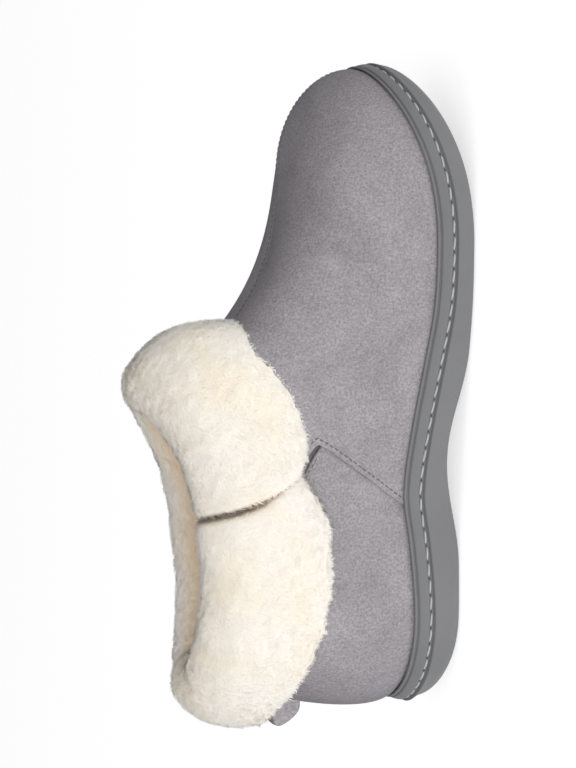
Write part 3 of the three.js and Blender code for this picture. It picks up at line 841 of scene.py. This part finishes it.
# %% Stitches of the upper
def on_skin(skin, points, off):
    """The nearest places of a skin, lifted off it, and its normals there."""
    found = [skin.find_nearest(Vector(p)) for p in points]
    normals = np.array([f[1] for f in found])
    return np.array([f[0] for f in found]) + normals * off, normals


def outward_of(turn, up):
    step = 4e-3
    a = wall_point(turn + step, up) - wall_point(turn - step, up)
    b = wall_point(turn, np.minimum(up + step, 1)) - wall_point(turn, up - step)
    normal = np.cross(a, b)
    normal = normal / np.linalg.norm(normal, axis=-1, keepdims=True)
    return normal * np.sign((normal * (wall_point(turn, up) * [1, 0, 0])).sum(-1))[:, None]


UPPER_PITCH, UPPER_STITCH, UPPER_THREAD = 2.45, 1.95, 0.3


def fine_stitches(name, row, facing):
    made = stitch_row(name, row, facing, UPPER_PITCH, UPPER_STITCH, UPPER_THREAD, 0.35,
                      thread_grey, sides=6)


for side, label in ((1, "outer"), (-1, "inner")):
    up = np.linspace(0.004, 0.6, 500)
    edge = seam_at(up) - slit_half(up) * turn_per_mm(up)
    turn = side * (edge - 2.8 * turn_per_mm(up))
    row, facing = on_skin(vamp_skin, wall_point(turn, up) + outward_of(turn, up) * 2, 0.0)
    fine_stitches(f"vamp_edge_stitches_{label}", row, facing)
    up = np.linspace(NOTCH_UP + 0.015, 0.7, 300)
    turn = side * (seam_at(up) + (slit_half(up) + 2.7) * turn_per_mm(up))
    row, facing = on_skin(quarter_skin, wall_point(turn, up) + outward_of(turn, up), 0.0)
    fine_stitches(f"quarter_edge_stitches_{label}", row, facing)
toe = wall_point(np.zeros(200), np.linspace(0.02, 1, 200))
middle_line = np.concatenate([toe, wall_point(THROAT_ROUND * np.linspace(0, 1, 300)[1:], 1.0)])
slope = np.gradient(middle_line, axis=0)
above = np.stack([0 * slope[:, 0], -slope[:, 2], slope[:, 1]], -1)
above *= np.sign(above[:, 2:3])
above /= np.linalg.norm(above, axis=1, keepdims=True)
for side, label in ((1, "outer"), (-1, "inner")):
    hits = []
    for base, way in zip(middle_line, above):
        hit = vamp_skin.ray_cast(Vector(base + way * 12 + [side * 2.55, 0, 0]), Vector(-way))
        if hit[0] is not None:
            hits.append((np.array(hit[0]), np.array(hit[1])))
    row, facing = np.array([h[0] for h in hits]), np.array([h[1] for h in hits])
    fine_stitches(f"middle_seam_stitches_{label}", row, facing)

# %% [markdown]
# ## Shaded strip and lining
# Behind the slit a strip of the same suede closes the gap; its colour is darkened, as painted shade
# for the deep shade there. Inside, short tan fleece lines the wall from the footbed up into the
# cuff.


# %% Shaded strip and lining
turn, up = np.meshgrid(np.linspace(1, -1, 260), np.linspace(0.03, 0.97, 60))
points, faces, _ = weld(wall_point(turn, up).reshape(-1, 3), grid_faces(*up.shape))
shell_points, shell_faces = shell(points, faces, np.full(len(points), -3.6),
                                  6.2 + 0.5 * wobble(points, 9, 21))
lining = mesh_object("lining", shell_points, clean_faces(shell_faces), lining_fleece)
print("lining", triangles(lining), "triangles")
for side, label in ((1, "outer"), (-1, "inner")):
    up = np.linspace(NOTCH_UP - 0.06, 0.98, 60)
    share = np.linspace(-1, 1, 14)
    turn = side * (seam_at(up)[:, None] + share[None, :] * 11 * turn_per_mm(up)[:, None])
    points = wall_point(turn, np.repeat(up[:, None], len(share), 1)).reshape(-1, 3)
    faces = grid_faces(len(up), len(share))
    faces = faces if side < 0 else faces[:, ::-1]
    shell_points, shell_faces = shell(points, faces, np.full(len(points), -2.5),
                                      np.full(len(points), 3.5))
    # The strip wears the darkened suede: painted shade for the gap behind the slit.
    slit_shade_strip = mesh_object(f"gusset_{label}", shell_points, clean_faces(shell_faces), suede_painted_shade)

# %% [markdown]
# ## Cuff
# The cuff is sheepskin turned over the collar. Its body is a thick ring of the same sections as
# the solid, fuller over the front edge, and cut through at the slit with rounded lips. Its points
# carry how far inside the opening and how near the slit they lie, so that painted shade can turn
# the fleece tan deep inside and dark in the slit. Small curls roughen its lower edge behind the
# slit.

# %% Cuff body
CUFF_OUTSIDE, CUFF_INSIDE, CUFF_ABOVE, CUFF_DROP = 18, 16, 15, 34
FRONT = np.array([(1.35, -0.62), (1.4, -0.35), (1.24, 0.0), (0.85, 0.3), (0.38, 0.52),
                  (-0.05, 0.6), (-0.55, 0.56), (-1.0, 0.24), (-1.15, -0.15), (-1.0, -0.5),
                  (-0.55, -0.68), (0.55, -0.62)])
SIDE = np.array([(0.55, -1.0), (0.88, -0.9), (1.0, -0.62), (0.98, -0.3), (0.82, 0.08),
                 (0.35, 0.38), (-0.2, 0.42), (-0.75, 0.26), (-1.0, -0.08), (-0.92, -0.5),
                 (-0.5, -0.72), (0.1, -0.9)])
HANG = np.array([  # round, drop, bulge
    (0.0, 0.97, 0.9), (0.06, 1.1, 1.04), (0.12, 1.34, 1.28), (0.2, 1.4, 1.32),
    (0.3, 1.24, 1.1), (0.38, 1.04, 1),
    (0.5, 1.14, 1), (0.75, 0.97, 1), (0.88, 0.75, 1), (1.0, 0.7, 1),
])


def catmull(p0, p1, p2, p3, t):
    return 0.5 * (2 * p1 + (p2 - p0) * t + (2 * p0 - 5 * p1 + 4 * p2 - p3) * t**2
                  + (3 * p1 - p0 - 3 * p2 + p3) * t**3)


def closed_spline(rows, at):
    """A smooth curve through closed rows of points; rows is (..., n, 2), at from 0 to 1."""
    n = rows.shape[-2]
    place = np.asarray(at) * n
    i = np.floor(place).astype(int)
    t = (place - i)[..., None]
    near = (np.take_along_axis(rows, ((i + k) % n)[..., None, None].repeat(2, -1), -2)[..., 0, :]
            for k in (-1, 0, 1, 2))
    return catmull(*near, t)


def cuff_point(turn, around):
    """A point of the cuff's skin; around goes round its section."""
    turn, around = np.broadcast_arrays(np.asarray(turn, float), np.asarray(around, float))
    turn = turn - 2 * np.round(turn / 2)
    away = np.abs(turn)
    side = smooth(0.04, 0.36, away)[..., None, None]
    rows = mix(FRONT, SIDE, side)
    drop = CUFF_DROP * read_rows(HANG, away)[..., None]
    outside = CUFF_OUTSIDE * read_rows(HANG, away, 2)[..., None]
    out = rows[..., 0] * np.where(rows[..., 0] > 0, outside, CUFF_INSIDE)
    up = rows[..., 1] * np.where(rows[..., 1] > 0, CUFF_ABOVE / 0.45, drop)
    place = closed_spline(np.stack([out, up], -1), around)
    base, away_from = collar_point(turn), plan_normal(collar_plan, turn)
    flat = base[..., :2] + away_from * place[..., :1]
    return np.concatenate([flat, (base[..., 2] + place[..., 1])[..., None]], -1)


def slit_line(z):
    """Where along the shoe the slit is, at a height."""
    up = np.linspace(NOTCH_UP, 1, 60)
    line = wall_point(seam_at(up), up)
    heights = np.concatenate([line[:, 2], [line[-1, 2] + 40]])
    places = np.concatenate([line[:, 1], [line[-1, 1] - 10]])
    return np.interp(z, heights, places)


def slit_turn(around):
    low, high = np.full(around.shape, 0.2), np.full(around.shape, 0.62)
    for _ in range(30):
        middle = (low + high) / 2
        point = cuff_point(middle, around)
        ahead = point[..., 1] > slit_line(point[..., 2])
        low, high = np.where(ahead, middle, low), np.where(ahead, high, middle)
    return (low + high) / 2


LIP, SLIT_IN_FUR = 2.6, 0.5
around = np.linspace(0, 1, 96, endpoint=False)
start = slit_turn(around)
collar_length = 330.0
ring = np.concatenate([np.array([0.0, 0.15, 0.45, 0.9, 1.5, 2.3, 3.4]),
                       np.linspace(4.6, collar_length - 4.6, 332)])
ring = np.concatenate([ring, collar_length - ring[6::-1]])
turn = start[None, :] + (SLIT_IN_FUR + ring[:, None] * (1 - 2 * SLIT_IN_FUR / collar_length)) \
    / collar_length * 2
points = cuff_point(turn, around[None, :] + 0 * turn)
hanging = smooth(0, -30, points[..., 2] - collar_point(turn)[..., 2])
points[..., 2] += hanging * (6.5 * np.maximum(1 - ring / 17, 0) ** 1.6)[:, None]
centre = points.mean(1, keepdims=True)
from_end = np.minimum(ring, collar_length - ring)
sink = LIP - np.sqrt(np.maximum(LIP**2 - np.maximum(LIP - from_end, 0) ** 2, 0))
spoke = points - centre
reach = np.linalg.norm(spoke, axis=-1, keepdims=True)
points = centre + spoke * (1 - np.minimum(sink[:, None, None] / reach, 0.9))
rows, cols = points.shape[:2]
flat = points.reshape(-1, 3)
faces = grid_faces(rows, cols, wrap=True)
normals = vertex_normals(flat, faces)
hem = smooth(-13, -24, flat[:, 2] - collar_point(turn.ravel())[:, 2])
hem *= mix(0.1, 1, smooth(120, 80, flat[:, 1]))
relief = 0.35 * wobble(flat, 17, 11) + 0.25 * wobble(flat, 7.5, 12)
relief = relief + (0.25 + 0.5 * hem) * wobble(flat, 4.6, 13)
settle = np.repeat(smooth(0, 8, from_end), cols)
flat = flat + normals * (relief * settle)[:, None]
cap_a, cap_b = len(flat), len(flat) + 1
flat = np.concatenate([flat, centre[0], centre[-1]])
column = np.arange(cols)
last = (rows - 1) * cols
caps = [(cap_a, (j + 1) % cols, j) for j in column]
caps += [(cap_b, last + j, last + (j + 1) % cols) for j in column]
cuff_faces = [tuple(f) for f in faces] + caps
cuff = mesh_object("cuff_skin", flat, cuff_faces, fleece)
collar = collar_point(turn.ravel())
inward = ((flat[:cap_a, :2] - collar[:, :2]) * plan_normal(collar_plan, turn.ravel())).sum(1)
# Masks for painted shade: how deep inside the opening a point lies, and how near the slit.
inner_shade_share = smooth(0, 11, -inward) * smooth(17, 1, flat[:cap_a, 2] - collar[:, 2])
slit_shade_share = np.repeat(smooth(1.3, 0.1, from_end), cols)
for label, values in (("inside", inner_shade_share), ("slit_shade", slit_shade_share)):
    point_values(cuff, label, np.concatenate([values, [values[0], values[-1]]]))
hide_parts("cuff")
print("cuff", triangles(cuff), "triangles")

# %% [markdown]
# ## Strands of the fleece
# Clipped sheepskin is a mass of fine fibres, combed a little down and back, that stand in soft
# clumps. Each strand is a small bent blade that takes the skin's own direction for its shading,
# so that the cuff stays soft, and its outline gets a short fuzz.

# %% Strands
STRAND_LENGTH, STRAND_WIDTH = 2.5, 0.3


def strands(name, count, seed):
    local = np.random.default_rng(seed)
    a, b, c, d = (flat[faces[:, k]] for k in range(4))
    area = np.linalg.norm(np.cross(c - a, d - b), axis=1)
    pick = local.choice(len(faces), count, p=area / area.sum())
    u, v = local.random(count)[:, None], local.random(count)[:, None]
    corners = faces[pick]
    weigh = ((1 - u) * (1 - v), u * (1 - v), u * v, (1 - u) * v)
    root = sum(flat[corners[:, k]] * weigh[k] for k in range(4))
    normal = sum(skin_normals[corners[:, k]] * weigh[k] for k in range(4))
    normal /= np.linalg.norm(normal, axis=1, keepdims=True)
    swirl = np.stack([wobble(root, 34, 31), wobble(root, 30, 32), wobble(root, 32, 33)], -1)
    comb = np.array([0.0, -0.35, -0.75]) + 0.55 * swirl
    clump = np.stack([wobble(root, 4.2, 41), wobble(root, 4.0, 42), wobble(root, 4.4, 43)], -1)
    comb = comb + 0.5 * clump + 0.35 * local.normal(size=(count, 3))
    comb -= normal * (comb * normal).sum(1, keepdims=True)
    length = STRAND_LENGTH * local.uniform(0.65, 1.15, (count, 1))
    middle = root + (normal * 0.3 + comb * 0.3) * length
    tip = root + (normal * 0.46 + comb * 0.8) * length
    side = np.cross(tip - root, normal + 0.25 * local.normal(size=(count, 3)))
    side /= np.linalg.norm(side, axis=1, keepdims=True)
    half = STRAND_WIDTH / 2 * local.uniform(0.7, 1.2, (count, 1))
    base = root - normal * 0.3
    points = np.stack([base - side * half, base + side * half, middle + side * half * 0.8,
                       middle - side * half * 0.8, tip], 1).reshape(-1, 3)
    start = np.arange(count)[:, None] * 5
    quads = (start + [0, 1, 2, 3]).tolist()
    tips = (start + [3, 2, 4]).tolist()
    obj = mesh_object(name, points, quads + tips, fleece_tips)
    point_values(obj, "from_root", np.tile([0, 0, 0.6, 0.6, 1.0], count))
    soft = normal + 0.07 * local.normal(size=(count, 3))
    soft = np.repeat(soft / np.linalg.norm(soft, axis=1, keepdims=True), 5, 0)
    obj.data.normals_split_custom_set_from_vertices(soft.tolist())
    facing = obj.data.attributes.new("skin_normal", "FLOAT_VECTOR", "POINT")
    facing.data.foreach_set("vector", soft.ravel())
    # The strands take the same painted shade masks as the skin.
    for label, values in (("inside", inner_shade_share), ("slit_shade", slit_shade_share)):
        value = sum(values[corners[:, k]] * weigh[k][:, 0] for k in range(4))
        point_values(obj, label, np.repeat(value, 5))
    obj.visible_shadow = False
    return obj


skin_normals = vertex_normals(flat[:cap_a], faces)
for k in range(2):
    strands(f"cuff_strands_{k + 1}", 45000, 50 + k)
print("strands", 2 * 45000)

# %% [markdown]
# ## Pull loop
# A strap of the same suede, folded over and sewn flat to the heel, that peeps out under the
# cuff. Its side is one curve from the heel out to the tip and back; slices of it, pulled in a
# little towards both faces, give the tab soft edges.

# %% Pull loop
LOOP_WIDTH, LOOP_REACH, LOOP_STRAP = 14, 9, 2
low, high = wall_point(1.0, 0.51), wall_point(1.0, 0.66)
knots = np.array([
    (low[1] + LOOP_STRAP, low[2]), (low[1] - LOOP_REACH * 0.35, low[2] + 0.3),
    (low[1] - LOOP_REACH * 0.85, mix(low[2], high[2], 0.4)),
    (low[1] - LOOP_REACH, mix(low[2], high[2], 0.78)),
    (high[1] - LOOP_REACH * 0.5, mix(low[2], high[2], 0.97)), (high[1] + LOOP_STRAP, high[2]),
])


def open_spline(knots, at):
    rows = np.concatenate([2 * knots[:1] - knots[1:2], knots, 2 * knots[-1:] - knots[-2:-1]])
    place = np.clip(np.asarray(at), 0, 1 - 1e-9) * (len(knots) - 1)
    i = np.floor(place).astype(int)
    t = (place - i)[:, None]
    return catmull(rows[i], rows[i + 1], rows[i + 2], rows[i + 3], t)


def folded_tab(name, knots, width, strap, material, steps=70):
    line = open_spline(knots, np.linspace(0, 1, steps))
    tangent = np.gradient(line, axis=0)
    tangent = tangent / np.linalg.norm(tangent, axis=1, keepdims=True)
    normal = np.stack([-tangent[:, 1], tangent[:, 0]], -1)
    slices = []
    angles = np.linspace(-np.pi / 2, np.pi / 2, 15)
    for across, round_off in zip(np.sin(angles), np.cos(angles)):
        out = strap / 2 * (1 - 0.9 * (1 - round_off**0.45))
        flat = line + normal * out
        slices.append(np.concatenate([np.full((steps, 1), across * width / 2), flat], -1))
    faces = [tuple(f) for f in grid_faces(len(slices), steps, wrap=True)]
    faces += [tuple(range(steps))[::-1],
              tuple(range((len(slices) - 1) * steps, len(slices) * steps))]
    return mesh_object(name, np.concatenate(slices), faces, material)


pull_loop = folded_tab("heel_loop", knots, LOOP_WIDTH, LOOP_STRAP, suede)
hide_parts("pull_loop")
print("heel tab", triangles(pull_loop), "triangles")

# %% [markdown]
# ## Camera, light and floor
# The photo looks at the outer side from about ten degrees above, with the toe turned up in the
# frame. The camera stands where it stood, is aimed at the middle of the shoe and rolled the
# same way. The light is one big soft source at the outer side, a little above the shoe, with a
# white surround.

# %% Camera
ELEVATION, YAW, ROLL = math.radians(9.24), math.radians(-1.7), math.radians(0.61)
TARGET = Vector((0.0, -0.00136, 0.12357))
DISTANCE = 0.8964
away = Vector((math.cos(ELEVATION) * math.cos(YAW), math.cos(ELEVATION) * math.sin(YAW),
               math.sin(ELEVATION)))
place = TARGET + away * DISTANCE
aim = Vector((0.0, 0.003, 0.067))
back = (place - aim).normalized()
up_way = Vector((0, 1, 0)) - back * back.y
up_way.normalize()
right_way = up_way.cross(back)
rolled_right = right_way * math.cos(ROLL) + up_way * math.sin(ROLL)
rolled_up = up_way * math.cos(ROLL) - right_way * math.sin(ROLL)
camera = bpy.data.objects.new("camera", bpy.data.cameras.new("camera"))
scene.collection.objects.link(camera)
camera.matrix_world = Matrix((
    (rolled_right.x, rolled_up.x, back.x, place.x),
    (rolled_right.y, rolled_up.y, back.y, place.y),
    (rolled_right.z, rolled_up.z, back.z, place.z),
    (0, 0, 0, 1),
))
camera.data.sensor_fit = "VERTICAL"
camera.data.sensor_height = 24
camera.data.sensor_width = 24
camera.data.lens = 24 * 2110 / 768
camera.data.clip_start, camera.data.clip_end = 0.01, 20
scene.camera = camera


# %% Light and floor
light = bpy.data.lights.new("key", "AREA")
light.shape = "RECTANGLE"
light.size, light.size_y = 1.2, 1.2
light.energy = 21
key = bpy.data.objects.new("key", light)
key.location = (1.8, -0.35, 0.45)
key.rotation_mode = "QUATERNION"
key.rotation_quaternion = (Vector((0, 0, 0.05)) - key.location).to_track_quat("-Z", "Y")
scene.collection.objects.link(key)

world = bpy.data.worlds.new("white surround")
world.use_nodes = True
world.node_tree.nodes["Background"].inputs["Color"].default_value = (1, 1, 1, 1)
world.node_tree.nodes["Background"].inputs["Strength"].default_value = 0.4
scene.world = world
scene.view_settings.view_transform = "Standard"

floor_mesh = bpy.data.meshes.new("floor")
floor_mesh.from_pydata([(-4, -4, 0), (4, -4, 0), (4, 4, 0), (-4, 4, 0)], [], [(0, 1, 2, 3)])
floor = bpy.data.objects.new("floor", floor_mesh)
scene.collection.objects.link(floor)
floor.location.z = -0.0005
floor_material, nodes, links, shader = new_material("pale floor")
shader.inputs["Base Color"].default_value = (0.85, 0.85, 0.85, 1)
shader.inputs["Roughness"].default_value = 0.9
shader.inputs["Emission Color"].default_value = (1, 1, 1, 1)
shader.inputs["Emission Strength"].default_value = 0.62
floor_mesh.materials.append(floor_material)
floor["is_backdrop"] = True

# %% Size and finish
low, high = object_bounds()
print("visual box", [round(v * 1000) for v in (*low, *high)])
